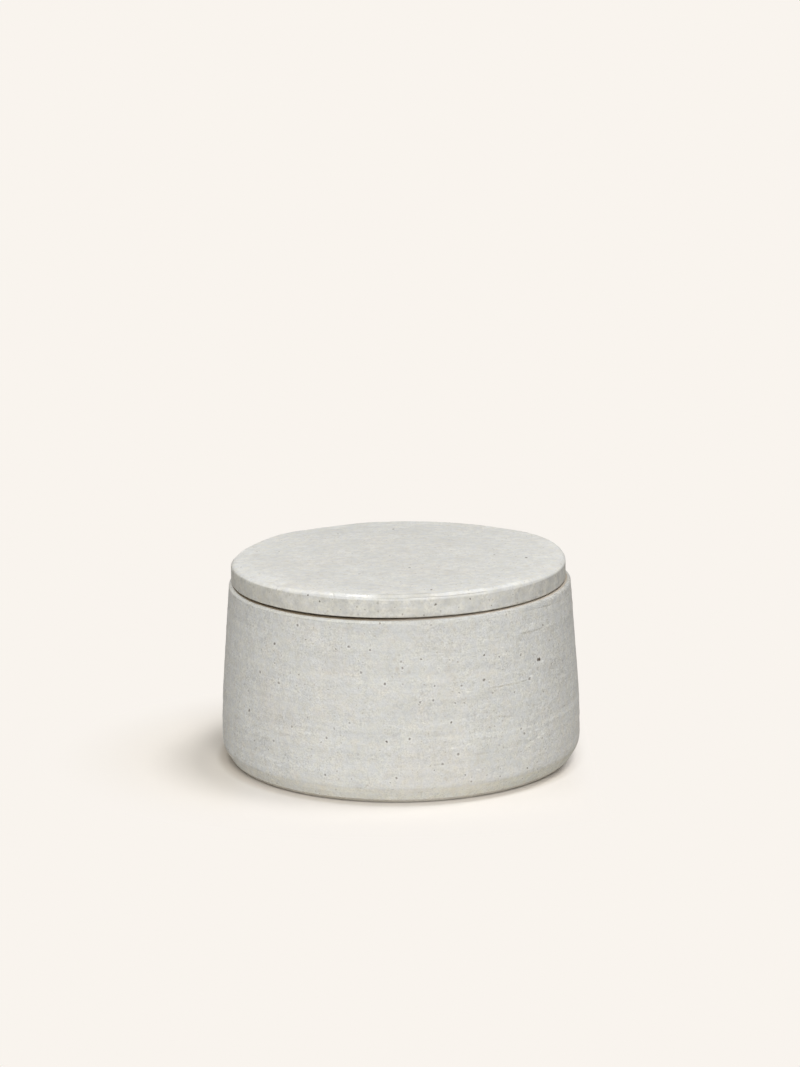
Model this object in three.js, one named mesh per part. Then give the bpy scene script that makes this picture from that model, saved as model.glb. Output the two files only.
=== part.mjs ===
// A small lidded pot in wheel-thrown stoneware, in millimetres with +Z up.
// The wall leans in a little from a low belly to the rim, and the foot is trimmed to a bevel. The lid is a
// plain thick disc with no knob: it rests on the crown of the rim, and a ring under it drops into the mouth.
// The origin is the centre of the foot, on the surface that the pot stands on.

import * as THREE from 'three';

// Outside of the pot
const POT_HEIGHT = 60.5;
const BELLY_RADIUS = 60;
const RIM_INSET = 3.5; // how far the rim lies inside the belly
const TAPER_START = 19; // height where the upright belly line meets the straight, tapered wall
const BELLY_TURN = 8; // length of the soft turn on each side of that meeting

// Trimmed foot
const FOOT_INSET = 3; // how far the foot lies inside the belly
const BEVEL_HEIGHT = 5.5;
const BEVEL_ROUNDING = 1.8;
const FOOT_EDGE = 1.6; // rounding where the bevel turns under to the table
const FOOT_RING_WIDTH = 8;
const RECESS_DEPTH = 1;
const RECESS_SLOPE = 1.5; // level length of the slope from the foot ring up into the recess
const RECESS_EDGE = 0.6;

// Wall, floor and rim
const WALL = 5;
const FLOOR = 6; // top of the floor above the table
const INSIDE_CORNER = 9;
const MOUTH_ROUNDING = 0.9;
const RIM_SHOULDER_WIDTH = 2.4; // the rim falls away outwards over this width
const RIM_SHOULDER_DROP = 1.7;

// Lid
const LID_INSET = 0.7; // how far the lid's edge lies inside the rim
const LID_THICKNESS = 6.75;
const LID_TOP_ROUNDING = 1.3;
const LID_LOWER_EDGE = 0.5;
const SEAT_GAP = 0.3; // clearance between the lid and the crown of the rim

// Locating ring under the lid
const RING_PLAY = 0.9; // clearance between the ring and the mouth
const RING_WIDTH = 4;
const RING_DEPTH = 6;
const RING_ROOT = 1.5;
const RING_TIP = 1.2;

// Fineness of the facets
const TURN_STEPS = 72;
const CORNER_STEPS = 4;

const rimRadius = BELLY_RADIUS - RIM_INSET;
const footRadius = BELLY_RADIUS - FOOT_INSET;
const recessRadius = footRadius - FOOT_RING_WIDTH;
const mouthRadius = rimRadius - WALL;
const lidRadius = rimRadius - LID_INSET;
const ringOuterRadius = mouthRadius - RING_PLAY;
const ringInnerRadius = ringOuterRadius - RING_WIDTH;

// A corner of a turned outline: its radius and height, and how much of the lines before and after it the
// rounding takes up. Both are the same unless a second length is given, and a sharp corner has none.
function corner(radius, height, before = 0, after = before) {
  return { at: new THREE.Vector2(radius, height), before, after };
}

function pointTowards(from, to, distance) {
  return to.clone().sub(from).setLength(distance).add(from);
}

// Joins corners into one path of straight lines and roundings
function turnedOutline(corners) {
  const circleHandle = 0.5523; // share of the way to the corner that makes a cubic curve a quarter circle
  const path = new THREE.Path();
  path.moveTo(corners[0].at.x, corners[0].at.y);
  for (let i = 1; i < corners.length; i++) {
    const { at, before, after } = corners[i];
    if (before === 0) {
      path.lineTo(at.x, at.y);
      continue;
    }
    const start = pointTowards(at, corners[i - 1].at, before);
    const end = pointTowards(at, corners[i + 1].at, after);
    const handleIn = start.clone().lerp(at, circleHandle);
    const handleOut = end.clone().lerp(at, circleHandle);
    path.lineTo(start.x, start.y);
    path.bezierCurveTo(handleIn.x, handleIn.y, handleOut.x, handleOut.y, end.x, end.y);
  }
  return path.getPoints(CORNER_STEPS);
}

function turnedPiece(name, corners, material) {
  const mesh = new THREE.Mesh(new THREE.LatheGeometry(turnedOutline(corners), TURN_STEPS), material);
  mesh.name = name;
  return mesh;
}

// Pot: from the middle of the base round the outside to the rim, and down the inside to the middle of the
// floor. The inside of the wall is parallel to the taper outside.
function makePot(material) {
  const taper = RIM_INSET / (POT_HEIGHT - TAPER_START);
  const floorRadius = mouthRadius + taper * (POT_HEIGHT - FLOOR);
  return turnedPiece('pot', [
    corner(0, RECESS_DEPTH),
    corner(recessRadius - RECESS_SLOPE, RECESS_DEPTH),
    corner(recessRadius, 0, RECESS_EDGE),
    corner(footRadius, 0, FOOT_EDGE),
    corner(BELLY_RADIUS, BEVEL_HEIGHT, BEVEL_ROUNDING),
    corner(BELLY_RADIUS, TAPER_START, BELLY_TURN),
    corner(rimRadius, POT_HEIGHT, RIM_SHOULDER_DROP, RIM_SHOULDER_WIDTH),
    corner(mouthRadius, POT_HEIGHT, MOUTH_ROUNDING),
    corner(floorRadius, FLOOR, INSIDE_CORNER),
    corner(0, FLOOR),
  ], material);
}

// Lid: from the middle of its underside round the locating ring and the edge to the middle of the top.
// Its own zero height is the underside, which rests on the rim.
function makeLid(material) {
  const lid = turnedPiece('lid', [
    corner(0, 0),
    corner(ringInnerRadius, 0, RING_ROOT),
    corner(ringInnerRadius, -RING_DEPTH, RING_TIP),
    corner(ringOuterRadius, -RING_DEPTH, RING_TIP),
    corner(ringOuterRadius, 0),
    corner(lidRadius, 0, LID_LOWER_EDGE),
    corner(lidRadius, LID_THICKNESS, LID_TOP_ROUNDING),
    corner(0, LID_THICKNESS),
  ], material);
  lid.position.y = POT_HEIGHT + SEAT_GAP;
  return lid;
}

// Off-white satin glaze over stoneware
const potGlaze = new THREE.MeshStandardMaterial({ color: 0xd9d6cf, roughness: 0.4, metalness: 0 });
const lidGlaze = new THREE.MeshStandardMaterial({ color: 0xdad8d1, roughness: 0.4, metalness: 0 });

const liddedPot = new THREE.Group();
liddedPot.add(makePot(potGlaze), makeLid(lidGlaze));
liddedPot.rotation.x = Math.PI / 2; // the outlines are turned about Y, and the pot stands along Z

export default liddedPot;
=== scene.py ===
import math

import bmesh
import bpy
from mathutils import Matrix, Vector
from mathutils.geometry import interpolate_bezier


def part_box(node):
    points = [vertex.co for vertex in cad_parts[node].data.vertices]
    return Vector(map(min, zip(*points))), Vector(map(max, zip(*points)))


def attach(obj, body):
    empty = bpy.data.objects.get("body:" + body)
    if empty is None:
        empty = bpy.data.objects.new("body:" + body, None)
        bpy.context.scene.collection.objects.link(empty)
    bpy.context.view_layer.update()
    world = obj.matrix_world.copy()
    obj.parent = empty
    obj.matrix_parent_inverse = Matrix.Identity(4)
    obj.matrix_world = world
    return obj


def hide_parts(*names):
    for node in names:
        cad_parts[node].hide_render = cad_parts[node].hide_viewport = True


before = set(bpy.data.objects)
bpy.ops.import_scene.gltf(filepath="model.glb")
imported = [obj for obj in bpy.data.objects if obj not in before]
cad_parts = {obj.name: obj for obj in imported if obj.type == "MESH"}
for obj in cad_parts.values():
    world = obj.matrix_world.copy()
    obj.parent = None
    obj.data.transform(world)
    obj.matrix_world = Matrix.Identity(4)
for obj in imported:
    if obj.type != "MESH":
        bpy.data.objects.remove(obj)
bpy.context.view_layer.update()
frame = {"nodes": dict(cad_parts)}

mm = 0.001
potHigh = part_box("pot")[1]
lidLow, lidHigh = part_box("lid")
print("frame loaded:", ", ".join(frame["nodes"]))


# Modelling helpers. Lengths are in millimetres, and degrees count from the front, to the right

def corner(radius, height, before=0, after=None, spacing=4):
    # a corner of a turned outline: how much of the lines before and after it the rounding takes up
    return {"at": Vector((radius, 0, height)), "before": before,
            "after": before if after is None else after, "spacing": spacing}


def outlinePoints(corners):
    circleHandle = 0.5523  # makes a cubic curve a quarter circle
    fewestSteps = 7
    points = [corners[0]["at"]]
    for last, this, following in zip(corners, corners[1:], corners[2:] + [None]):
        start = end = this["at"]
        if this["before"]:
            start = this["at"] + (last["at"] - this["at"]).normalized() * this["before"]
            end = this["at"] + (following["at"] - this["at"]).normalized() * this["after"]
        straightFrom = points[-1]
        pieces = max(1, round((start - straightFrom).length / this["spacing"]))
        points += [straightFrom.lerp(start, (step + 1) / pieces) for step in range(pieces)]
        if this["before"]:
            handleIn = start.lerp(this["at"], circleHandle)
            handleOut = end.lerp(this["at"], circleHandle)
            steps = max(fewestSteps, round((this["before"] + this["after"]) / this["spacing"]))
            points += interpolate_bezier(start, handleIn, handleOut, end, steps)[1:]
    return points


def pickOnly(piece):
    bpy.ops.object.select_all(action="DESELECT")
    piece.select_set(True)
    bpy.context.view_layer.objects.active = piece


def turnPiece(name, corners, steps):
    # one vertex on the axis, extruded along the outline, then turned once round the axis
    seamGap = 0.002 * mm  # vertices nearer than this become one
    bpy.ops.object.select_all(action="DESELECT")
    bpy.ops.mesh.primitive_plane_add(size=mm, location=(0, 0, 0))
    piece = bpy.context.object
    piece.name = name
    piece.data.name = name
    bpy.ops.object.mode_set(mode="EDIT")
    bpy.ops.mesh.select_mode(type="VERT")
    bpy.ops.mesh.select_all(action="SELECT")
    bpy.ops.mesh.merge(type="CENTER")
    points = outlinePoints(corners)
    bpy.ops.transform.translate(value=points[0] * mm)
    for last, point in zip(points, points[1:]):
        bpy.ops.mesh.extrude_vertices_move(TRANSFORM_OT_translate={"value": (point - last) * mm})
    bpy.ops.object.mode_set(mode="OBJECT")
    turn = piece.modifiers.new("turn", "SCREW")
    turn.axis = "Z"
    turn.steps = steps
    turn.render_steps = steps
    turn.use_merge_vertices = True
    turn.merge_threshold = seamGap
    bpy.ops.object.modifier_apply(modifier="turn")
    bpy.ops.object.mode_set(mode="EDIT")
    bpy.ops.mesh.select_all(action="SELECT")
    bpy.ops.mesh.remove_doubles(threshold=seamGap)
    bpy.ops.mesh.normals_make_consistent(inside=False)
    bpy.ops.mesh.select_all(action="DESELECT")
    bpy.ops.object.mode_set(mode="OBJECT")
    return piece


def selectNear(piece, test):
    # test gets a vertex's radius, height and degrees
    mesh = bmesh.from_edit_mesh(piece.data)
    for vert in mesh.verts:
        x, y, z = vert.co / mm
        vert.select = test(math.hypot(x, y), z, math.degrees(math.atan2(x, -y)))
    mesh.select_flush_mode()
    bmesh.update_edit_mesh(piece.data)


def markGroup(piece, name, test):
    group = piece.vertex_groups.new(name=name)
    piece.vertex_groups.active = group
    bpy.ops.object.mode_set(mode="EDIT")
    selectNear(piece, test)
    bpy.ops.object.vertex_group_assign()
    bpy.ops.object.mode_set(mode="OBJECT")


def pushClay(piece, pushes, touch):
    # a thumb's push: the clay near one place moves, and less so further away
    thumbDegrees = 4
    bpy.ops.object.mode_set(mode="EDIT")
    for push in pushes:
        selectNear(piece, lambda radius, height, degrees: touch(radius, height)
                   and abs(degrees - push["degrees"]) < push.get("wide", thumbDegrees))
        outwards = math.radians(push["degrees"])
        out = push.get("out", 0) * mm
        move = (math.sin(outwards) * out, -math.cos(outwards) * out, push.get("up", 0) * mm)
        bpy.ops.transform.translate(value=move, use_proportional_edit=True,
                                    proportional_edit_falloff="SMOOTH",
                                    proportional_size=push["reach"] * mm)
    bpy.ops.mesh.select_all(action="DESELECT")
    bpy.ops.object.mode_set(mode="OBJECT")


def pressNoise(piece, name, group, depth, around, up, turn=0):
    # uneven clay: soft noise pressed in, stretched along the wheel's turn by an empty
    bpy.ops.object.select_all(action="DESELECT")
    bpy.ops.object.empty_add(location=(0, 0, 0), rotation=(0, 0, turn))
    carrier = bpy.context.object
    carrier.scale = (around * mm, around * mm, up * mm)
    noise = bpy.data.textures.new(name, type="CLOUDS")
    noise.noise_scale = 1
    noise.noise_depth = 1
    pickOnly(piece)
    press = piece.modifiers.new(name, "DISPLACE")
    press.texture = noise
    press.texture_coords = "OBJECT"
    press.texture_coords_object = carrier
    press.vertex_group = group
    press.mid_level = 0.5
    press.strength = depth * mm
    bpy.context.view_layer.update()
    bpy.ops.object.modifier_apply(modifier=name)
    bpy.data.objects.remove(carrier)
    bpy.data.textures.remove(noise)


def finishPiece(piece, body, node, material, groups):
    creaseDegrees = 50
    for name in groups:
        piece.vertex_groups.remove(piece.vertex_groups[name])
    pickOnly(piece)
    bpy.ops.object.shade_smooth_by_angle(angle=math.radians(creaseDegrees))
    piece.data.materials.clear()
    piece.data.materials.append(material)
    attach(piece, body)
    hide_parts(node)


# Shader helpers

def addNode(tree, kind, inputs=None, **settings):
    node = tree.nodes.new(kind)
    for name, value in settings.items():
        setattr(node, name, value)
    for name, value in (inputs or {}).items():
        if isinstance(value, bpy.types.NodeSocket):
            tree.links.new(value, node.inputs[name])
        else:
            node.inputs[name].default_value = value
    return node


def calc(tree, operation, first, second=0.0, third=0.0, clamp=False):
    node = addNode(tree, "ShaderNodeMath", {0: first, 1: second, 2: third},
                   operation=operation, use_clamp=clamp)
    return node.outputs[0]


def vectorCalc(tree, operation, first, second, out="Vector"):
    return addNode(tree, "ShaderNodeVectorMath", {0: first, 1: second}, operation=operation).outputs[out]


def spread(tree, value, start, end, low=0.0, high=1.0, how="LINEAR"):
    inputs = {"Value": value, "From Min": start, "From Max": end, "To Min": low, "To Max": high}
    return addNode(tree, "ShaderNodeMapRange", inputs, interpolation_type=how).outputs[0]


def fade(tree, value, start, end, low=0.0, high=1.0):
    return spread(tree, value, start, end, low, high, "SMOOTHSTEP")


def sway(tree, noise, amount):
    # nearly all noise lies between low and high, which become -amount and amount
    low, high = 0.25, 0.75
    return spread(tree, noise, low, high, -amount, amount)


def both(tree, first, second):
    return calc(tree, "MULTIPLY", first, second)


def either(tree, first, second):
    return calc(tree, "MAXIMUM", first, second)


def without(tree, mask):
    return calc(tree, "SUBTRACT", 1.0, mask)


def offLevel(tree, value, level):
    return calc(tree, "ABSOLUTE", calc(tree, "SUBTRACT", value, level))


def lengthOf(tree, vector):
    return vectorCalc(tree, "LENGTH", vector, (0, 0, 0), "Value")


def awayFrom(tree, place, centre):
    return vectorCalc(tree, "DISTANCE", place, centre, "Value")


def past(level, pair):
    # a start and an end that are counted from a level
    return level + pair[0], level + pair[1]


def blendColour(tree, share, first, second, how="MIX"):
    node = addNode(tree, "ShaderNodeMix", {0: share, 6: first, 7: second}, data_type="RGBA", blend_type=how)
    return node.outputs[2]


def blendValue(tree, share, first, second):
    return addNode(tree, "ShaderNodeMix", {0: share, 2: first, 3: second}, data_type="FLOAT").outputs[0]


def newGroup(name, inputs, outputs):
    group = bpy.data.node_groups.new(name, "ShaderNodeTree")
    for label, kind, value in inputs:
        socket = group.interface.new_socket(label, in_out="INPUT", socket_type=kind)
        if value is not None:
            socket.default_value = value
    for label in outputs:
        group.interface.new_socket(label, in_out="OUTPUT", socket_type=floatSocket)
    return group, addNode(group, "NodeGroupInput").outputs, addNode(group, "NodeGroupOutput").inputs


def useGroup(tree, group, inputs):
    return addNode(tree, "ShaderNodeGroup", inputs, node_tree=group).outputs


floatSocket, vectorSocket = "NodeSocketFloat", "NodeSocketVector"


# Shared effects, all in millimetres on the piece

def makeTurnedPlaces():
    # Outline runs along a turned outline: down a wall, and out over a flat face
    group, given, put = newGroup("turnedPlaces", [("Place", vectorSocket, None)],
                                 ["Radius", "Height", "Outline"])
    radius = lengthOf(group, vectorCalc(group, "MULTIPLY", given["Place"], (1, 1, 0)))
    height = addNode(group, "ShaderNodeSeparateXYZ", {0: given["Place"]}).outputs["Z"]
    group.links.new(radius, put["Radius"])
    group.links.new(height, put["Height"])
    group.links.new(calc(group, "SUBTRACT", height, radius), put["Outline"])
    return group


# a speck's soft edge and the halo round it, in shares of its size
speckEdge, haloEdge = (1.0, 0.4), (2.0, 1.1)


def makeIronSpecks():
    # grains of iron in the clay that burn through the glaze, each with its own size and strength
    smallest = 0.35  # share of the full size
    group, given, put = newGroup(
        "ironSpecks",
        [("Place", vectorSocket, None), ("Cell", floatSocket, 3.0), ("Size", floatSocket, 0.4),
         ("Share", floatSocket, 0.5), ("Palest", floatSocket, 0.2), ("Darkest", floatSocket, 0.9)],
        ["Speck", "Halo"])
    cells = vectorCalc(group, "DIVIDE", given["Place"], given["Cell"])
    grain = addNode(group, "ShaderNodeTexVoronoi", {"Vector": cells, "Scale": 1.0},
                    voronoi_dimensions="3D", feature="F1")
    chance = addNode(group, "ShaderNodeSeparateColor", {0: grain.outputs["Color"]}).outputs
    away = calc(group, "MULTIPLY", grain.outputs["Distance"], given["Cell"])
    size = calc(group, "MULTIPLY", given["Size"], spread(group, chance[1], 0, 1, smallest, 1))
    ratio = calc(group, "DIVIDE", away, size)
    strength = spread(group, chance[2], 0, 1, given["Palest"], given["Darkest"])
    strength = calc(group, "MULTIPLY", strength, calc(group, "LESS_THAN", chance[0], given["Share"]))
    speck = fade(group, ratio, *speckEdge)
    halo = calc(group, "SUBTRACT", fade(group, ratio, *haloEdge), speck, clamp=True)
    group.links.new(calc(group, "MULTIPLY", speck, strength), put["Speck"])
    group.links.new(calc(group, "MULTIPLY", halo, strength), put["Halo"])
    return group


def makeThrowingLines():
    # marks of the wheel and of the glaze brush, drawn out along the turn
    group, given, put = newGroup(
        "throwingLines",
        [("Place", vectorSocket, None), ("Outline", floatSocket, 0.0), ("Along", floatSocket, 40.0),
         ("Across", floatSocket, 1.0), ("Detail", floatSocket, 2.0)],
        ["Line"])
    place = addNode(group, "ShaderNodeSeparateXYZ", {0: given["Place"]}).outputs
    drawn = addNode(group, "ShaderNodeCombineXYZ",
                    {"X": calc(group, "DIVIDE", place["X"], given["Along"]),
                     "Y": calc(group, "DIVIDE", place["Y"], given["Along"]),
                     "Z": calc(group, "DIVIDE", given["Outline"], given["Across"])})
    noise = addNode(group, "ShaderNodeTexNoise", {"Vector": drawn.outputs[0], "Scale": 1.0,
                                                  "Detail": given["Detail"], "Roughness": 0.55})
    group.links.new(noise.outputs[0], put["Line"])
    return group


def makeGlazeGrain():
    # the fine pebbled skin of a satin glaze, and soft clouds in it
    group, given, put = newGroup(
        "glazeGrain",
        [("Place", vectorSocket, None), ("Size", floatSocket, 0.5), ("Detail", floatSocket, 2.0)],
        ["Grain"])
    drawn = vectorCalc(group, "DIVIDE", given["Place"], given["Size"])
    noise = addNode(group, "ShaderNodeTexNoise", {"Vector": drawn, "Scale": 1.0,
                                                  "Detail": given["Detail"], "Roughness": 0.6})
    group.links.new(noise.outputs[0], put["Grain"])
    return group


turnedPlaces = makeTurnedPlaces()
ironSpecks = makeIronSpecks()
throwingLines = makeThrowingLines()
glazeGrain = makeGlazeGrain()


def startMaterial(name):
    material = bpy.data.materials.new(name)
    material.use_nodes = True
    tree = material.node_tree
    tree.nodes.clear()
    shader = addNode(tree, "ShaderNodeBsdfPrincipled")
    addNode(tree, "ShaderNodeOutputMaterial", {"Surface": shader.outputs[0]})
    spot = addNode(tree, "ShaderNodeTexCoord")
    inMm = addNode(tree, "ShaderNodeMapping", {"Vector": spot.outputs["Object"], "Scale": (1 / mm,) * 3})
    return material, tree, shader, inMm.outputs[0]


def placedSpecks(tree, place, spots):
    # specks that have a place of their own: where, how large and how dark
    farAway = 9.0
    specks, nearest = 0.0, farAway
    for centre, size, dark in spots:
        ratio = calc(tree, "DIVIDE", awayFrom(tree, place, centre), size)
        specks = either(tree, specks, fade(tree, ratio, *speckEdge, 0, dark))
        nearest = calc(tree, "MINIMUM", nearest, ratio)
    halo = calc(tree, "SUBTRACT", fade(tree, nearest, *haloEdge), specks, clamp=True)
    return specks, halo


def makeGlaze(name, look, spots, zones):
    material, tree, shader, place = startMaterial(name)
    where = useGroup(tree, turnedPlaces, {"Place": place})

    def lines(mark):
        inputs = {"Place": place, "Outline": where["Outline"], "Along": mark["along"],
                  "Across": mark["across"], "Detail": mark["detail"]}
        return useGroup(tree, throwingLines, inputs)["Line"]

    def grains(mark):
        inputs = {"Place": place, "Size": mark["size"], "Detail": mark["detail"]}
        return useGroup(tree, glazeGrain, inputs)["Grain"]

    # glaze colour: warm clouds, then streaks and grain that lighten and darken it, more so in some patches
    patch = fade(tree, grains(look["patches"]), *look["patches"]["range"])
    clouds = grains(look["clouds"])
    warmth = fade(tree, clouds, *look["clouds"]["range"], 0, look["warmShare"])
    colour = blendColour(tree, warmth, look["glaze"], look["warmGlaze"])
    blush = fade(tree, grains(look["blushes"]), *look["blushes"]["range"], 0, look["blushShare"])
    colour = blendColour(tree, blush, colour, look["blushGlaze"])
    mottle = fade(tree, grains(look["mottle"]), *look["mottle"]["range"])
    mottled = blendColour(tree, mottle, look["coolMottle"], look["warmMottle"])
    colour = blendColour(tree, 1.0, colour, mottled, "MULTIPLY")
    zone = zones(tree, place, where, grains(look["edges"]))
    # the zones' tone holds painted light and shade as well as the glaze's own changes
    tone, height = calc(tree, "ADD", 1.0, zone["tone"]), 0.0
    for mark in look["streaks"] + look["grains"]:
        drawn = lines(mark) if "along" in mark else grains(mark)
        patchy = spread(tree, patch, 0, 1, *mark["patchy"])
        change = calc(tree, "MULTIPLY", sway(tree, drawn, mark["tone"]), patchy)
        tone = calc(tree, "MULTIPLY_ADD", change, zone["contrast"], tone)
        height = calc(tree, "MULTIPLY_ADD", drawn, mark["depth"], height)
    grey = addNode(tree, "ShaderNodeCombineColor", {0: tone, 1: tone, 2: tone}).outputs[0]
    colour = blendColour(tree, 1.0, colour, grey, "MULTIPLY")

    # specks with uneven outlines, from pale freckles to burnt iron; the pale halo round the darker specks is
    # partly a painted glint on the rim of a pit
    wander = look["wander"]
    drift = addNode(tree, "ShaderNodeTexNoise",
                    {"Vector": place, "Scale": wander["scale"], "Detail": wander["detail"]})
    shift = vectorCalc(tree, "SUBTRACT", drift.outputs["Color"], (0.5,) * 3)  # to either side of none
    uneven = vectorCalc(tree, "ADD", place, vectorCalc(tree, "MULTIPLY", shift, (wander["reach"],) * 3))
    for sort in look["specks"]:
        moved = vectorCalc(tree, "ADD", uneven, sort["offset"])
        share = spread(tree, patch, 0, 1, *sort["share"])
        found = useGroup(tree, ironSpecks, {"Place": moved, "Cell": sort["cell"], "Size": sort["size"],
                                            "Share": share, "Palest": sort["palest"],
                                            "Darkest": sort["darkest"]})
        colour = blendColour(tree, both(tree, found["Halo"], sort["halo"]), colour, look["halo"])
        colour = blendColour(tree, found["Speck"], colour, sort["colour"])
        height = calc(tree, "MULTIPLY_ADD", found["Speck"], -sort["pit"], height)
    placed, ring = placedSpecks(tree, uneven, spots)
    colour = blendColour(tree, both(tree, ring, look["ringShare"]), colour, look["halo"])
    colour = blendColour(tree, placed, colour, look["iron"])
    height = calc(tree, "MULTIPLY_ADD", placed, -look["pitDepth"], height)

    # tinted and scratched places, and bare clay where nothing was glazed; some tints are painted light and
    # shade
    for tint in ("pale", "thin", "warm", "line"):
        colour = blendColour(tree, zone[tint], colour, look[tint + "Tint"], "MULTIPLY")
    height = calc(tree, "MULTIPLY_ADD", zone["line"], -look["lineDepth"], height)
    grit = grains(look["grit"])
    clay = blendColour(tree, fade(tree, grit, *look["grit"]["range"]), look["darkClay"], look["clay"])
    clay = blendColour(tree, zone["flashed"], clay, look["flashedClay"])
    colour = blendColour(tree, zone["bare"], colour, clay)
    gritty = both(tree, zone["bare"], grit)
    height = calc(tree, "MULTIPLY_ADD", gritty, look["grit"]["depth"], height)
    tree.links.new(colour, shader.inputs["Base Color"])

    satin = calc(tree, "ADD", look["roughness"], sway(tree, clouds, look["roughnessSway"]))
    rough = blendValue(tree, zone["gloss"], satin, look["glossyRoughness"])
    rough = blendValue(tree, zone["bare"], rough, look["clayRoughness"])
    tree.links.new(rough, shader.inputs["Roughness"])
    shader.inputs["IOR"].default_value = look["ior"]
    shader.inputs["Specular IOR Level"].default_value = look["specular"]
    height = calc(tree, "MULTIPLY", height, spread(tree, zone["gloss"], 0, 1, 1, look["glossyRelief"]))
    bump = addNode(tree, "ShaderNodeBump", {"Height": height, "Strength": 1.0, "Distance": mm})
    tree.links.new(bump.outputs[0], shader.inputs["Normal"])
    return material


# a range is the part of the noise over which an effect comes in
glazeLook = {
    "glaze": (0.662, 0.66, 0.628, 1), "warmGlaze": (0.667, 0.64, 0.594, 1), "warmShare": 0.5,
    "clouds": {"size": 20, "detail": 3.0, "range": (0.45, 0.68)},
    "patches": {"size": 8, "detail": 2.0, "range": (0.38, 0.62)},
    "blushes": {"size": 4.5, "detail": 3.0, "range": (0.5, 0.7)},
    "blushGlaze": (0.655, 0.622, 0.565, 1), "blushShare": 0.45,
    "mottle": {"size": 2.0, "detail": 2.0, "range": (0.36, 0.64)},
    "coolMottle": (0.989, 0.996, 1.018, 1), "warmMottle": (1.011, 1.004, 0.975, 1),
    "streaks": [
        {"along": 5, "across": 0.7, "detail": 3.0, "tone": 0.04, "depth": 0.05, "patchy": (0.4, 1.3)},
        {"along": 45, "across": 2.0, "detail": 2.0, "tone": 0.05, "depth": 0.04, "patchy": (1.2, 0.8)},
        {"along": 2.5, "across": 6, "detail": 2.0, "tone": 0.02, "depth": 0.0, "patchy": (1, 1)},
        {"along": 9, "across": 45, "detail": 2.0, "tone": 0.0, "depth": 0.5, "patchy": (1, 1)},
    ],
    "grains": [
        {"size": 0.55, "detail": 2.0, "tone": 0.15, "depth": 0.17, "patchy": (0.6, 1.25)},
        {"size": 1.6, "detail": 2.0, "tone": 0.06, "depth": 0.2, "patchy": (0.7, 1.2)},
        {"size": 5.0, "detail": 2.0, "tone": 0.035, "depth": 0.25, "patchy": (1, 1)},
    ],
    "wander": {"scale": 1.6, "detail": 1.0, "reach": 0.7},
    # brown freckles, pale specks, soft blurs and dark iron
    "specks": [
        {"cell": 1.3, "size": 0.42, "share": (0.2, 0.65), "palest": 0.12, "darkest": 0.58,
         "halo": 0, "pit": 0.02, "colour": (0.36, 0.31, 0.25, 1), "offset": (7, 3, 11)},
        {"cell": 1.5, "size": 0.42, "share": (0.25, 0.5), "palest": 0.2, "darkest": 0.65,
         "halo": 0, "pit": -0.05, "colour": (0.82, 0.81, 0.77, 1), "offset": (31, 17, 5)},
        {"cell": 4.0, "size": 1.1, "share": (0.5, 0.5), "palest": 0.05, "darkest": 0.28,
         "halo": 0, "pit": 0.03, "colour": (0.42, 0.36, 0.28, 1), "offset": (11, 29, 3)},
        {"cell": 2.4, "size": 0.55, "share": (0.3, 0.55), "palest": 0.2, "darkest": 0.66,
         "halo": 0.5, "pit": 0.15, "colour": (0.16, 0.125, 0.085, 1), "offset": (0, 0, 0)},
    ],
    "halo": (0.82, 0.81, 0.77, 1), "ringShare": 0.45, "iron": (0.07, 0.048, 0.027, 1), "pitDepth": 0.15,
    "edges": {"size": 5, "detail": 3.0},
    # on the pot the pale tint is painted light, on the rim's left and the bevel's lower edge, and the tint
    # after it lightens the bevel: little glaze there, and partly painted light
    "paleTint": (1.06, 1.06, 1.045, 1), "thinTint": (1.14, 1.125, 1.09, 1),
    "warmTint": (0.85, 0.855, 0.83, 1), "lineTint": (0.84, 0.82, 0.78, 1), "lineDepth": 0.06,
    "grit": {"size": 0.4, "detail": 4.0, "depth": 0.12, "range": (0.35, 0.65)},
    "clay": (0.42, 0.34, 0.24, 1), "darkClay": (0.3, 0.235, 0.155, 1),
    "flashedClay": (0.58, 0.515, 0.43, 1), "clayRoughness": 0.85,
    "roughness": 0.7, "roughnessSway": 0.05, "glossyRoughness": 0.13, "glossyRelief": 0.15,
    "ior": 1.5, "specular": 0.45,
}


# Pot: thrown wall, rounded rim, trimmed foot

potShape = {
    "bellyRadius": potHigh.x / mm, "height": potHigh.z / mm, "rimInset": 3.3,
    "taperStart": 19, "bellyTurn": 8, "footInset": 3.4, "bevelHeight": 5.5, "bevelRounding": 1.8,
    "footEdge": 1.6, "footRingWidth": 8, "recessDepth": 1, "recessSlope": 1.5, "recessEdge": 0.6,
    "wall": 5, "floor": 6, "insideCorner": 9, "mouthRounding": 0.9,
    "shoulderWidth": 1.6, "shoulderDrop": 0.85,
    "spinSteps": 360, "fine": 0.45, "coarse": 2.5,
    "ringDepth": 0.16, "ringHeight": 2.2, "ringLength": 160,
    "waveDepth": 0.3, "waveSize": 45, "waveStart": 2.25, "waveInside": 1,
    "pushDepth": 0.5,
    "rimPushes": [
        {"degrees": -50, "up": -0.75, "reach": 60}, {"degrees": 5, "up": -0.35, "reach": 45},
        {"degrees": 95, "up": 0.1, "out": 0.2, "reach": 40}, {"degrees": -122, "up": -0.65, "reach": 33},
    ],
}


def wallLean(shape):
    return shape["rimInset"] / (shape["height"] - shape["taperStart"])


def wallRadius(shape, height):
    return shape["bellyRadius"] - wallLean(shape) * max(0, height - shape["taperStart"])


def onPotWall(degrees, height):
    radius, turn = wallRadius(potShape, height), math.radians(degrees)
    return (radius * math.sin(turn), -radius * math.cos(turn), height)


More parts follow.
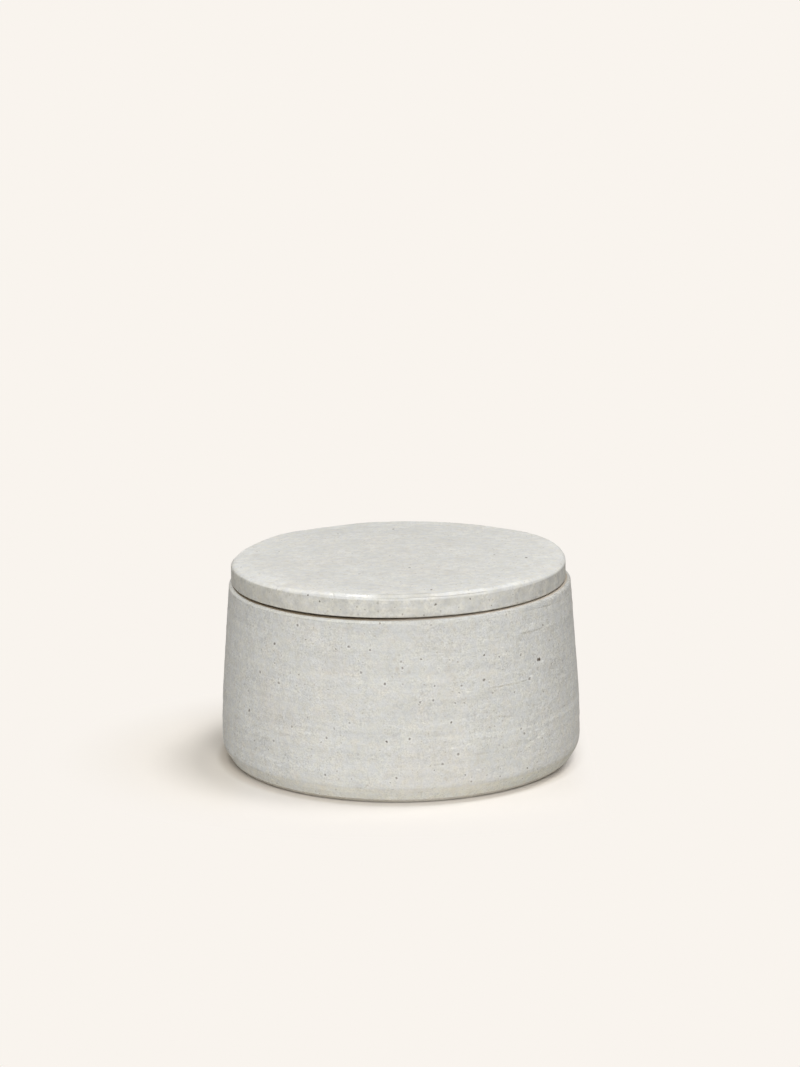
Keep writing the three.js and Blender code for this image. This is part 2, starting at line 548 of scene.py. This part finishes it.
def makePot(shape, material):
    belly, top, floor = shape["bellyRadius"], shape["height"], shape["floor"]
    rim = belly - shape["rimInset"]
    foot = belly - shape["footInset"]
    recess = foot - shape["footRingWidth"]
    mouth = rim - shape["wall"]
    fine, coarse = shape["fine"], shape["coarse"]
    piece = turnPiece("thrown_pot", [
        corner(0, shape["recessDepth"]),
        corner(recess - shape["recessSlope"], shape["recessDepth"]),
        corner(recess, 0, shape["recessEdge"], spacing=fine),
        corner(foot, 0, shape["footEdge"], spacing=coarse),
        corner(belly, shape["bevelHeight"], shape["bevelRounding"], spacing=fine),
        corner(belly, shape["taperStart"], shape["bellyTurn"], spacing=fine),
        corner(rim, top, shape["shoulderDrop"], shape["shoulderWidth"], spacing=fine),
        corner(mouth, top, shape["mouthRounding"], spacing=fine),
        corner(mouth + wallLean(shape) * (top - floor), floor, shape["insideCorner"], spacing=coarse),
        corner(0, floor),
    ], shape["spinSteps"])
    markGroup(piece, "outside", lambda radius, height, degrees:
              shape["bevelHeight"] < height < top - shape["shoulderDrop"]
              and radius > wallRadius(shape, height) - shape["wall"] / 2)
    markGroup(piece, "wall", lambda radius, height, degrees:
              height > floor + shape["waveStart"] and radius > mouth - shape["waveInside"])
    pressNoise(piece, "throwingRings", "outside", shape["ringDepth"], shape["ringLength"],
               shape["ringHeight"])
    pressNoise(piece, "handWaves", "wall", shape["waveDepth"], shape["waveSize"], shape["waveSize"])
    pushClay(piece, shape["rimPushes"], lambda radius, height: height > top - shape["pushDepth"])
    finishPiece(piece, "pot", "pot", material, ["outside", "wall"])
    return piece


# where the glaze changes: from, to, and the values there unless they are 0 and 1. Lengths run to the right,
# to the back, up, or out from the axis; crown, seat, trimDown and pooledRim count from the rim
potMarks = {
    "front": (15, -10), "left": (8, -18),
    # painted light and shade on the rim's crown: darker under the lid, lighter on the left
    "crown": (-1.0, -0.8), "crownDip": (-20, 45, 0.7, 0), "crownGloss": (0, 1, 0.1, 0.6), "paintedCrownShade": -0.12,
    "seat": (-0.8, -1.1), "seatSway": 0.1,
    "bareFootAndContactShade": (1.66, 1.54, 0, 0.5), "wipedSway": 0.05, "recess": (1.6, 1.2), "recessOut": (51, 50),
    "lowEdge": (3.6, 1.6), "lowEdgeOut": (55, 56),
    "thin": (6.0, 5.0), "thinSway": 0.3, "warmRight": (0, 40, 0, 0.75), "warmLeft": (-20, -50, 0, 0.05),
    "turnUpTop": (6.1, 5.3), "turnUpFoot": (3.8, 4.8), "turnUpShare": 0.5, "turnUpSway": 0.12,
    "trimAcross": (36, 56), "trimDown": (-1.4, -3.2), "trimWidth": (0.35, 0.05), "trimEnd": (34, 42, 0, 0.6),
    "scratchWidth": (0.45, 0.15), "scratchEnd": 4, "scratchGaps": (0.36, 0.56),
    "pooledFoot": 8, "pooledRim": -2, "pooledTones": (0.03, -0.03),
    # painted light: the wall is lightened to each side of the front, and a little more near its left and
    # right ends
    "paintedSideLight": (6, 30, 0, 0.04), "paintedEdgeLight": (45, 58, 0, 0.006),
    "asideContrast": (22, 50, 0.95, 1.23), "rightContrast": (25, 50, 0, 0.1),
    "patchSquat": 3,  # patches and flecks are this many times as long as high
}
# scratches along the turn: start, end, height and strength
potScratches = [
    (27, 44, 36.3, 0.95), (21, 33, 15.5, 0.8), (35, 48, 51.6, 0.8), (28, 40, 26.7, 0.75), (7, 15, 13.6, 0.7),
]
# rings of the throwing: height, reach and tone
potRings = [(20.9, 2.2, 0.035), (41.5, 2.4, 0.025), (24.6, 1.8, -0.012), (16.5, 2, -0.012), (12, 2, 0.012)]
# patches of thicker and thinner glaze, and small pale flecks: degrees, height, reach and tone
potPatches = [
    (-41, 24.7, 11, -0.04), (-52, 42.5, 9, 0.04), (-57, 20.2, 9, 0.05), (-49, 16, 11, -0.06),
    (-48, 12.8, 8, 0.04), (19, 21.5, 11, 0.04), (25, 27, 11, -0.06), (35, 27.5, 9, -0.05),
    (3, 33, 9, -0.05), (-3, 24, 6, -0.04), (-14, 57.5, 10, -0.05), (14, 57.5, 9, -0.05),
    (-35, 39.5, 9, 0.03), (33, 49, 9, 0.03), (8, 42.3, 11, 0.03), (-52, 56, 10, -0.04),
    (50, 35, 8, 0.03), (46, 28, 9, -0.03), (-20, 47, 9, -0.03), (28, 35, 8, -0.03),
]
potFlecks = [
    (43, 17.3, 1.6, 0.3), (45, 15.9, 1.5, 0.35), (48, 16.6, 1.6, 0.4), (50, 17.2, 1.7, 0.4),
    (44, 19.2, 1.6, 0.25), (46, 37.3, 1.6, 0.3), (51.6, 40.9, 1.7, 0.35), (21, 36.2, 1.5, 0.18),
    (18, 35.1, 1.4, 0.16), (16, 18.5, 1.6, 0.25), (21, 19.2, 1.5, 0.25), (24, 10.5, 1.5, 0.25),
    (12, 44.6, 1.6, 0.25), (56, 51.7, 1.7, 0.3), (47, 19.4, 1.5, 0.28),
]


def potZones(tree, place, where, noise):
    mark, top = potMarks, potShape["height"]
    rim = potShape["bellyRadius"] - potShape["rimInset"]
    radius, height = where["Radius"], where["Height"]
    apart = addNode(tree, "ShaderNodeSeparateXYZ", {0: place}).outputs
    x, aside = apart["X"], calc(tree, "ABSOLUTE", apart["X"])
    front = fade(tree, apart["Y"], *mark["front"])
    leftwards = fade(tree, x, *mark["left"])

    def swayed(value, amount):
        return calc(tree, "ADD", value, sway(tree, noise, amount))

    # the crown of the rim reaches further down at the front left; the seat, foot and recess were left bare,
    # and the bare foot edge is also painted contact shade. Away from the left the crown is darkened as
    # painted shade under the lid; on the left it is lightened as painted light
    dip = both(tree, front, spread(tree, x, *mark["crownDip"]))
    crown = fade(tree, calc(tree, "ADD", height, dip), *past(top, mark["crown"]))
    shadedCrown = both(tree, crown, without(tree, leftwards))
    seat = both(tree, crown, fade(tree, swayed(radius, mark["seatSway"]), *past(rim, mark["seat"])))
    # bare clay on the foot edge, half mixed in, which also darkens it as painted contact shade
    bareFootAndContactShade = fade(tree, swayed(height, mark["wipedSway"]), *mark["bareFootAndContactShade"])
    recess = both(tree, fade(tree, height, *mark["recess"]), fade(tree, radius, *mark["recessOut"]))

    # the foot's bevel carries little glaze, warmer to the right, and a line where the wall turns up from it;
    # the bevel faces down, and its paler tint is partly painted light, and the paler band at its lower edge
    # is painted light
    lowEdge = both(tree, fade(tree, height, *mark["lowEdge"]), fade(tree, radius, *mark["lowEdgeOut"]))
    thin = fade(tree, swayed(height, mark["thinSway"]), *mark["thin"])
    ends = either(tree, fade(tree, x, *mark["warmRight"]), fade(tree, x, *mark["warmLeft"]))
    uneven = swayed(height, mark["turnUpSway"])
    turnUp = both(tree, fade(tree, uneven, *mark["turnUpTop"]), fade(tree, uneven, *mark["turnUpFoot"]))
    turnUp = both(tree, turnUp, mark["turnUpShare"])

    # a trimming line runs out from under the rim on the right, and broken scratches follow the turn
    below = offLevel(tree, height, spread(tree, x, *mark["trimAcross"], *past(top, mark["trimDown"])))
    drawn = both(tree, fade(tree, below, *mark["trimWidth"]), fade(tree, x, *mark["trimEnd"]))
    for start, end, level, strength in potScratches:
        starts = fade(tree, x, start, start + mark["scratchEnd"])
        along = both(tree, starts, fade(tree, x, end, end - mark["scratchEnd"], 0, strength))
        along = both(tree, both(tree, along, front), fade(tree, noise, *mark["scratchGaps"]))
        across = fade(tree, offLevel(tree, height, level), *mark["scratchWidth"])
        drawn = either(tree, drawn, both(tree, across, along))

    # the wall is lighter near the foot and darker near the rim, and the glaze lies thicker in some rings,
    # patches and flecks and less so in others, all drawn out along the turn. To each side of the front the
    # wall is lightened as painted light, and the crown of the rim is darkened as painted shade under the lid
    upwards = spread(tree, height, mark["pooledFoot"], top + mark["pooledRim"], *mark["pooledTones"])
    outwards = calc(tree, "ADD", fade(tree, aside, *mark["paintedSideLight"]), fade(tree, aside, *mark["paintedEdgeLight"]))
    tone = calc(tree, "MULTIPLY_ADD", shadedCrown, mark["paintedCrownShade"], calc(tree, "ADD", upwards, outwards))
    for level, reach, change in potRings:
        tone = calc(tree, "ADD", tone, fade(tree, offLevel(tree, height, level), reach, 0, 0, change))
    squat = Vector((1, 1, mark["patchSquat"]))
    squatted = vectorCalc(tree, "MULTIPLY", place, squat)
    for degrees, level, reach, change in potPatches + potFlecks:
        away = awayFrom(tree, squatted, Vector(onPotWall(degrees, level)) * squat)
        tone = calc(tree, "ADD", tone, fade(tree, away, reach, 0, 0, change))
    return {"bare": either(tree, seat, either(tree, bareFootAndContactShade, recess)), "thin": thin,
            "warm": both(tree, thin, ends), "line": either(tree, drawn, turnUp),
            "pale": either(tree, both(tree, crown, leftwards), lowEdge), "tone": tone,
            "flashed": both(tree, front, without(tree, leftwards)),
            "contrast": calc(tree, "ADD", fade(tree, aside, *mark["asideContrast"]),
                             fade(tree, x, *mark["rightContrast"])),
            "gloss": both(tree, crown, spread(tree, leftwards, *mark["crownGloss"]))}


# the specks that stand out: degrees, height, size and how dark; the first two make one long speck
potSpots = [
    (49.6, 41.85, 0.68, 1), (50.4, 41.85, 0.66, 1), (27, 39.3, 0.65, 0.79), (-4.4, 21.5, 0.5, 0.82),
    (45, 36.6, 0.65, 0.6), (27.5, 47.2, 0.45, 0.73), (33, 46, 0.48, 0.56), (6.5, 47.8, 0.5, 0.65),
    (-9.5, 50.8, 0.45, 0.6), (-16.5, 51.5, 0.55, 0.65), (-35, 56.5, 0.6, 0.6), (-44.5, 49, 0.65, 0.67),
    (-12.5, 43.4, 0.52, 0.53), (-5, 40, 0.6, 0.71), (10.5, 39, 0.45, 0.6), (10, 34.5, 0.52, 0.52),
    (6, 34, 0.52, 0.52), (-42, 36.7, 0.65, 0.56), (-56, 24.7, 0.72, 0.65), (15.5, 27, 0.48, 0.77),
    (2.5, 22.3, 0.6, 0.62), (-23.5, 21.5, 0.5, 0.53), (17.5, 16.3, 0.64, 0.58), (-24, 9.2, 0.48, 0.65),
    (42.5, 7.5, 0.45, 0.69), (-43.5, 17.3, 0.55, 0.47), (-51, 38.5, 0.7, 0.53), (-3.5, 8, 0.38, 0.43),
    (-16, 27, 0.5, 0.47), (12.5, 13.5, 0.6, 0.47), (30, 23.7, 0.44, 0.47), (17, 33, 0.42, 0.47),
    (18.5, 36.2, 0.42, 0.43), (41.5, 19.2, 0.68, 0.56), (-25.3, 19.8, 0.48, 0.41), (12, 44.5, 0.42, 0.36),
    (0.5, 44, 0.35, 0.26),
]
potSpecks = [(onPotWall(degrees, height), size, dark) for degrees, height, size, dark in potSpots]
thrownPot = makePot(potShape, makeGlaze("potGlaze", glazeLook, potSpecks, potZones))
print("pot turned:", len(thrownPot.data.polygons), "faces")


# Lid: flat disc with a trimmed top edge and a locating ring under it

lidInset = 0.15  # how far this edge lies inside the solid lid's
lidShape = {
    "radius": lidHigh.x / mm - lidInset, "top": lidHigh.z / mm, "tip": lidLow.z / mm, "thickness": 6.75,
    "trimDrop": 0.77, "trimWidth": 1.0, "trimRounding": 0.3, "lowerEdge": 0.5,
    "ringOuter": 50.6, "ringWidth": 4, "ringRoot": 1.5, "ringTip": 1.2,
    "spinSteps": 360, "fine": 0.4, "coarse": 2, "topSpacing": 0.9,
    "shiftLeft": 0.4, "tilt": 0.25, "topSlope": 0.3, "slopeDrops": 1.2,
    "waveDepth": 0.22, "waveSize": 40, "waveTurn": 1.0, "waveBelow": 0.1,
    "pushDepth": 1, "pushWidth": 2,
    "pushes": [
        {"degrees": -152, "up": -0.3, "reach": 12}, {"degrees": -108, "up": -0.5, "out": -0.55, "reach": 24},
        {"degrees": 117, "up": 0.3, "out": 0.3, "reach": 18},
        {"degrees": -68, "wide": 32, "up": -0.25, "reach": 6},
        {"degrees": -68, "wide": 22, "up": -0.3, "reach": 6},
        {"degrees": -68, "wide": 12, "up": -0.2, "reach": 6},
        {"degrees": 72, "wide": 24, "up": -0.2, "reach": 6},
        {"degrees": 72, "wide": 15, "up": -0.2, "reach": 6},
        {"degrees": 72, "wide": 7, "up": -0.15, "reach": 6},
    ],
}


def onLidSide(degrees, height=None):
    radius, turn = lidShape["radius"], math.radians(degrees)
    middle = lidShape["top"] - lidShape["thickness"] / 2
    return (radius * math.sin(turn) - lidShape["shiftLeft"], -radius * math.cos(turn),
            middle if height is None else height)


def onLidTop(x, y):
    # the top rises to the front and to the right
    rise = (lidShape["radius"] - y) * math.sin(math.radians(lidShape["topSlope"]))
    return (x, y, lidShape["top"] + rise + x * math.sin(math.radians(lidShape["tilt"])))


def makeLid(shape, material):
    radius, top, tip = shape["radius"], shape["top"], shape["tip"]
    under = top - shape["thickness"]
    outer, inner = shape["ringOuter"], shape["ringOuter"] - shape["ringWidth"]
    fine, coarse = shape["fine"], shape["coarse"]
    piece = turnPiece("thrown_lid", [
        corner(0, under),
        corner(inner, under, shape["ringRoot"], spacing=coarse),
        corner(inner, tip, shape["ringTip"], spacing=coarse),
        corner(outer, tip, shape["ringTip"], spacing=coarse),
        corner(outer, under, spacing=coarse),
        corner(radius, under, shape["lowerEdge"], spacing=fine),
        corner(radius, top - shape["trimDrop"], shape["trimRounding"], spacing=fine),
        corner(radius - shape["trimWidth"], top, shape["trimRounding"], spacing=fine),
        corner(0, top, spacing=shape["topSpacing"]),
    ], shape["spinSteps"])
    markGroup(piece, "disc", lambda radius, height, degrees: height > under - shape["waveBelow"])
    pressNoise(piece, "handWaves", "disc", shape["waveDepth"], shape["waveSize"], shape["waveSize"],
               shape["waveTurn"])
    bpy.ops.object.mode_set(mode="EDIT")
    selectNear(piece, lambda out, height, degrees:
               height > top - shape["slopeDrops"] * shape["trimDrop"])
    bpy.ops.transform.rotate(value=math.radians(shape["topSlope"]), orient_axis="X",
                             center_override=(0, radius * mm, top * mm))
    bpy.ops.object.mode_set(mode="OBJECT")
    pushClay(piece, shape["pushes"], lambda out, height:
             height > top - shape["pushDepth"] and out > radius - shape["pushWidth"])
    bpy.ops.object.mode_set(mode="EDIT")
    bpy.ops.mesh.select_all(action="SELECT")
    bpy.ops.transform.translate(value=(-shape["shiftLeft"] * mm, 0, 0))
    bpy.ops.transform.rotate(value=math.radians(shape["tilt"]), orient_axis="Y",
                             center_override=(0, 0, under * mm))
    bpy.ops.mesh.select_all(action="DESELECT")
    bpy.ops.object.mode_set(mode="OBJECT")
    finishPiece(piece, "lid", "lid", material, ["disc"])
    return piece


# where the glaze changes, as on the pot. The bare and lower edges count up from the underside, the side, brow
# and glossy lines from the top, and what ends in Out from the edge. A place on the side is its degrees and
# its reach
lidMarks = {
    "bare": (0.15, 0.05), "bareOut": (-0.2, -0.5), "lowerEdge": (0.9, 0.3),
    "side": (-0.9, -1.3), "sideOut": (-1.5, -1), "brow": (-0.9, -0.45), "browOut": (-2.4, -1.4),
    "left": (-75, 62), "right": (80, 55), "middle": (8, 18), "shoulder": (-15, 22), "shadedBrow": (1, 16),
    "placeCore": 0.4, "rightShare": 0.65, "shoulderShare": 0.88, "leastTan": 0.57,
    "glossyPlaces": [-25, -21, -17, -12, 128, 160, -140, -100], "glossyGaps": (0.36, 0.44),
    "glossyLines": [9, 15, 21, 25], "glossyLineDown": (-0.15, -0.3), "glossyReach": 8,
    "paintedRightShade": -0.1, "sideSway": 0.06,
    "pooledFrom": 15, "pooledOut": -3, "pooledTones": (-0.012, 0.03),
    "borderOut": (-9, -4), "borderTone": 0.03,
    "backTone": (10, 45, 0, -0.055), "nearTone": (-15, -38, 0, -0.022),
    "front": (0, -35), "frontTone": 0.035, "flashed": (-18, 8),
    "lowestLine": 0.5, "leftLine": 0.12, "sideContrast": 0.6, "contrast": 0.95,
}


def lidZones(tree, place, where, noise):
    mark, top, edge = lidMarks, lidShape["top"], lidShape["radius"]
    under = top - lidShape["thickness"]
    radius, height = where["Radius"], where["Height"]
    apart = addNode(tree, "ShaderNodeSeparateXYZ", {0: place}).outputs

    def near(degrees, reach):
        return fade(tree, awayFrom(tree, place, onLidSide(degrees)), reach, reach * mark["placeCore"])

    def band(level, up, out):
        inHeight = fade(tree, height, *past(level, mark[up]))
        return both(tree, inHeight, fade(tree, radius, *past(edge, mark[out])))

    # the side has a tan glaze, most of all on the left and left of the middle; at its left and right ends the
    # tan also darkens it as painted shade, and its lower edge is lightened as a painted highlight, except in
    # the middle
    side = band(top, "side", "sideOut")
    left, right, middle = near(*mark["left"]), near(*mark["right"]), near(*mark["middle"])
    shoulder = both(tree, near(*mark["shoulder"]), mark["shoulderShare"])
    tannedAndShaded = either(tree, left, both(tree, right, mark["rightShare"]))
    tannedAndShaded = either(tree, mark["leastTan"], either(tree, shoulder, tannedAndShaded))
    lowest = both(tree, side, fade(tree, height, *past(under, mark["lowerEdge"])))
    line = either(tree, both(tree, both(tree, lowest, middle), mark["lowestLine"]),
                  both(tree, both(tree, side, left), mark["leftLine"]))

    # the trimmed edge has glossy places and lines, and between them at the front it is darkened as painted
    # shade
    brow = band(top, "brow", "browOut")
    glossy, lines = 0.0, 0.0
    for degrees in mark["glossyPlaces"]:
        glossy = either(tree, glossy, near(degrees, mark["glossyReach"]))
    for degrees in mark["glossyLines"]:
        lines = either(tree, lines, near(degrees, mark["glossyReach"]))
    glossy = both(tree, glossy, fade(tree, noise, *mark["glossyGaps"]))
    lines = both(tree, lines, fade(tree, height, *past(top, mark["glossyLineDown"])))
    shiny = either(tree, glossy, lines)
    shadedBrow = both(tree, both(tree, brow, near(*mark["shadedBrow"])), without(tree, shiny))

    # the glaze is uneven on the side, and its right end is darkened as painted shade; the top is lighter from
    # its middle to its border, and a painted sheen makes it darker towards the back and a little towards the
    # front, and lighter at its front border
    sideTone = calc(tree, "MULTIPLY_ADD", right, mark["paintedRightShade"], sway(tree, noise, mark["sideSway"]))
    border = past(edge, mark["borderOut"])
    front = both(tree, fade(tree, apart["Y"], *mark["front"]), fade(tree, radius, *border))
    tone = fade(tree, radius, mark["pooledFrom"], edge + mark["pooledOut"], *mark["pooledTones"])
    tone = calc(tree, "ADD", tone, fade(tree, radius, *border, 0, mark["borderTone"]))
    for strip in ("backTone", "nearTone"):
        tone = calc(tree, "ADD", tone, fade(tree, apart["Y"], *mark[strip]))
    tone = calc(tree, "MULTIPLY_ADD", front, mark["frontTone"], tone)
    return {"bare": band(under, "bare", "bareOut"), "thin": shadedBrow, "warm": both(tree, side, tannedAndShaded),
            "line": line, "pale": both(tree, lowest, without(tree, middle)),
            "tone": calc(tree, "ADD", both(tree, side, sideTone), tone),
            "contrast": calc(tree, "MULTIPLY_ADD", side, mark["sideContrast"], mark["contrast"]),
            "flashed": both(tree, fade(tree, apart["X"], *mark["flashed"]), front),
            "gloss": both(tree, brow, shiny)}


# the specks that stand out on the side: degrees, height, size and how dark
lidSideSpots = [
    (-31, 66.6, 0.42, 0.77), (-26.7, 64.9, 0.42, 0.73), (12, 64.7, 0.5, 0.73), (24, 65.6, 0.42, 0.69),
    (-11, 63.4, 0.42, 0.47), (-1.2, 64.3, 0.35, 0.34), (20, 63.2, 0.3, 0.43), (31, 64.5, 0.3, 0.34),
    (41, 64.6, 0.4, 0.34), (-22, 66, 0.3, 0.34), (-35, 63.5, 0.35, 0.34), (-48, 65, 0.3, 0.3),
]
# and on the top: to the right, to the back, size and how dark
lidTopSpots = [
    (10, -48.5, 0.52, 0.68), (42, -5, 0.62, 0.77), (-2, 42, 0.6, 0.63), (3.3, -17, 0.6, 0.54),
    (-21, 35.5, 0.5, 0.54), (31.6, 0, 0.52, 0.5), (-40.4, 10.5, 0.5, 0.45), (-13, -25, 0.55, 0.45),
    (-3.2, 0.5, 0.52, 0.41),
]
topRuns = (-0.22, 0.22)  # specks on the top run a little from front to back
lidSpecks = [(onLidSide(degrees, height), size, dark) for degrees, height, size, dark in lidSideSpots]
lidSpecks += [(onLidTop(x, y + run), size, dark) for x, y, size, dark in lidTopSpots for run in topRuns]
lidLook = {
    **glazeLook,
    "glaze": (0.703, 0.7, 0.67, 1), "warmGlaze": (0.705, 0.681, 0.634, 1),
    "warmShare": 0.4, "blushShare": 0.3,
    "streaks": [
        {"along": 14, "across": 1.6, "detail": 3.0, "tone": 0.028, "depth": 0.015, "patchy": (1, 1)},
        {"along": 1.4, "across": 2.5, "detail": 2.0, "tone": 0.025, "depth": 0.0, "patchy": (1, 1)},
    ],
    "grains": [
        {"size": 0.7, "detail": 2.0, "tone": 0.07, "depth": 0.025, "patchy": (0.6, 1.3)},
        {"size": 2.6, "detail": 2.0, "tone": 0.08, "depth": 0.1, "patchy": (0.8, 1.2)},
        {"size": 8.0, "detail": 2.0, "tone": 0.06, "depth": 0.2, "patchy": (1, 1)},
    ],
    # on the lid the first tint darkens the front of the trimmed edge as painted shade, the warm tint darkens
    # the side, partly as painted shade at its ends, and the pale tint is a painted highlight on the lower
    # edge
    "thinTint": (0.8, 0.795, 0.775, 1), "warmTint": (0.785, 0.775, 0.74, 1),
    "paleTint": (1.05, 1.05, 1.04, 1),
}
thrownLid = makeLid(lidShape, makeGlaze("lidGlaze", lidLook, lidSpecks, lidZones))
print("lid turned:", len(thrownLid.data.polygons), "faces")


# Stage: pale floor, soft lamps and the camera

stageLook = {
    "paper": (0.947, 0.905, 0.855, 1), "floorSize": 30,
    "shadowReach": (1, 1.3, 0), "shadowEnd": (0.06, 0.12), "clearRight": (0.05, 0.064),
    "shade": (0.947, 0.902, 0.845, 1),
    # painted shadow on the floor: darker and yellower to the left of the pot, and darker again where they
    # touch
    "paintedLeftShadow": (0.93, 0.873, 0.79, 1), "leftStart": (-0.045, -0.06),
    "paintedContactShadow": (0.82, 0.8, 0.775, 1), "contactReach": (1, 1.035, 0), "contactStart": (0.063, 0.0598),
    "bounce": (0.62, 0.608, 0.59, 1), "room": (1, 1, 1, 1), "ambient": 0.01,
}


def cameraSees(tree):
    # what the eye and every reflection see of the stage
    path = addNode(tree, "ShaderNodeLightPath").outputs
    seen = either(tree, path["Is Camera Ray"], path["Is Glossy Ray"])
    return either(tree, seen, path["Is Transmission Ray"])


def makeFloor(look):
    bpy.ops.object.select_all(action="DESELECT")
    bpy.ops.mesh.primitive_plane_add(size=look["floorSize"], location=(0, 0, 0))
    floor = bpy.context.object
    floor.name = "floor"
    material = bpy.data.materials.new("paleFloor")
    material.use_nodes = True
    tree = material.node_tree
    tree.nodes.clear()
    spot = addNode(tree, "ShaderNodeTexCoord").outputs["Object"]
    right = addNode(tree, "ShaderNodeSeparateXYZ", {0: spot}).outputs["X"]

    def away(reach):
        return lengthOf(tree, vectorCalc(tree, "MULTIPLY", spot, reach))

    # near the pot the floor takes its shadow, with painted shadow where they touch and a painted, darker and
    # yellower shadow to the left; further off it is plain paper
    shade = blendColour(tree, fade(tree, right, *look["leftStart"]), look["shade"], look["paintedLeftShadow"])
    contactShadowShare = fade(tree, away(look["contactReach"]), *look["contactStart"])
    shade = blendColour(tree, contactShadowShare, shade, blendColour(tree, 1.0, shade, look["paintedContactShadow"], "MULTIPLY"))
    far = either(tree, fade(tree, away(look["shadowReach"]), *look["shadowEnd"]),
                 fade(tree, right, *look["clearRight"]))
    seen = cameraSees(tree)
    lit = addNode(tree, "ShaderNodeBsdfDiffuse", {"Color": blendColour(tree, seen, look["bounce"], shade)})
    paper = addNode(tree, "ShaderNodeEmission", {"Color": look["paper"], "Strength": 1.0})
    share = both(tree, seen, far)
    mixed = addNode(tree, "ShaderNodeMixShader", {0: share, 1: lit.outputs[0], 2: paper.outputs[0]})
    addNode(tree, "ShaderNodeOutputMaterial", {"Surface": mixed.outputs[0]})
    floor.data.materials.append(material)


def makeWorld(look):
    world = bpy.data.worlds.new("studio")
    bpy.context.scene.world = world
    world.use_nodes = True
    tree = world.node_tree
    tree.nodes.clear()
    room = addNode(tree, "ShaderNodeBackground", {"Color": look["room"], "Strength": look["ambient"]})
    paper = addNode(tree, "ShaderNodeBackground", {"Color": look["paper"], "Strength": 1.0})
    mixed = addNode(tree, "ShaderNodeMixShader",
                    {0: cameraSees(tree), 1: room.outputs[0], 2: paper.outputs[0]})
    addNode(tree, "ShaderNodeOutputWorld", {"Surface": mixed.outputs[0]})


# degrees from the front, degrees up, metres, and the light on a white card that faces the lamp
lamps = {
    "front": {"turn": -3, "rise": 33, "distance": 2.5, "size": 1.8, "level": 0.89},
    "overheadRight": {"turn": 102, "rise": 73.5, "distance": 2.0, "size": 0.52, "level": 0.38},
    "overheadLeft": {"turn": -102, "rise": 75, "distance": 2.0, "size": 0.55, "level": 0.13},
}


def makeLamp(name, lamp, aim):
    light = bpy.data.lights.new(name, type="AREA")
    light.shape = "SQUARE"
    light.size = lamp["size"]
    light.energy = lamp["level"] * (math.pi * lamp["distance"]) ** 2  # watts that give the card that light
    turn, rise = math.radians(lamp["turn"]), math.radians(lamp["rise"])
    towards = Vector((math.sin(turn) * math.cos(rise), -math.cos(turn) * math.cos(rise), math.sin(rise)))
    holder = bpy.data.objects.new(name, light)
    holder.location = aim + towards * lamp["distance"]
    holder.rotation_euler = (-towards).to_track_quat("-Z", "Y").to_euler()
    holder.visible_camera = False
    bpy.context.scene.collection.objects.link(holder)


cameraView = {
    "distance": 1.0, "elevation": 15.18, "target": (0, 0, 0.032), "focalPixels": 2980, "roll": 0.63,
    "imageWidth": 800, "imageHeight": 1067, "targetX": 400.5, "targetY": 660.1, "sensor": 36,
    "nearest": 0.01, "furthest": 100,
}


def makeCamera(setup):
    # the target falls at its own pixel, so the aim lies a little above it
    data = bpy.data.cameras.new("studioCamera")
    data.sensor_width = setup["sensor"]
    data.sensor_fit = "AUTO"
    data.lens = setup["focalPixels"] * setup["sensor"] / setup["imageHeight"]
    data.clip_start = setup["nearest"]
    data.clip_end = setup["furthest"]
    camera = bpy.data.objects.new("studioCamera", data)
    elevation, roll = math.radians(setup["elevation"]), math.radians(setup["roll"])
    back = Vector((0, -math.cos(elevation), math.sin(elevation)))
    place = Vector(setup["target"]) + back * setup["distance"]
    right = (setup["targetX"] - setup["imageWidth"] / 2) / setup["focalPixels"]
    down = (setup["targetY"] - setup["imageHeight"] / 2) / setup["focalPixels"]
    across = right * math.cos(roll) - down * math.sin(roll)
    below = down * math.cos(roll) + right * math.sin(roll)
    facing = Matrix.Rotation(math.pi / 2 - elevation + math.atan(below), 4, "X")
    turned = Matrix.Rotation(math.atan(across), 4, "Y")
    rolled = Matrix.Rotation(-roll, 4, "Z")
    camera.matrix_world = Matrix.Translation(place) @ facing @ turned @ rolled
    bpy.context.scene.collection.objects.link(camera)
    bpy.context.scene.camera = camera


makeFloor(stageLook)
makeWorld(stageLook)
for name, lamp in lamps.items():
    makeLamp(name, lamp, Vector(cameraView["target"]))
makeCamera(cameraView)
bpy.context.scene.view_settings.view_transform = "Standard"
print("stage set")
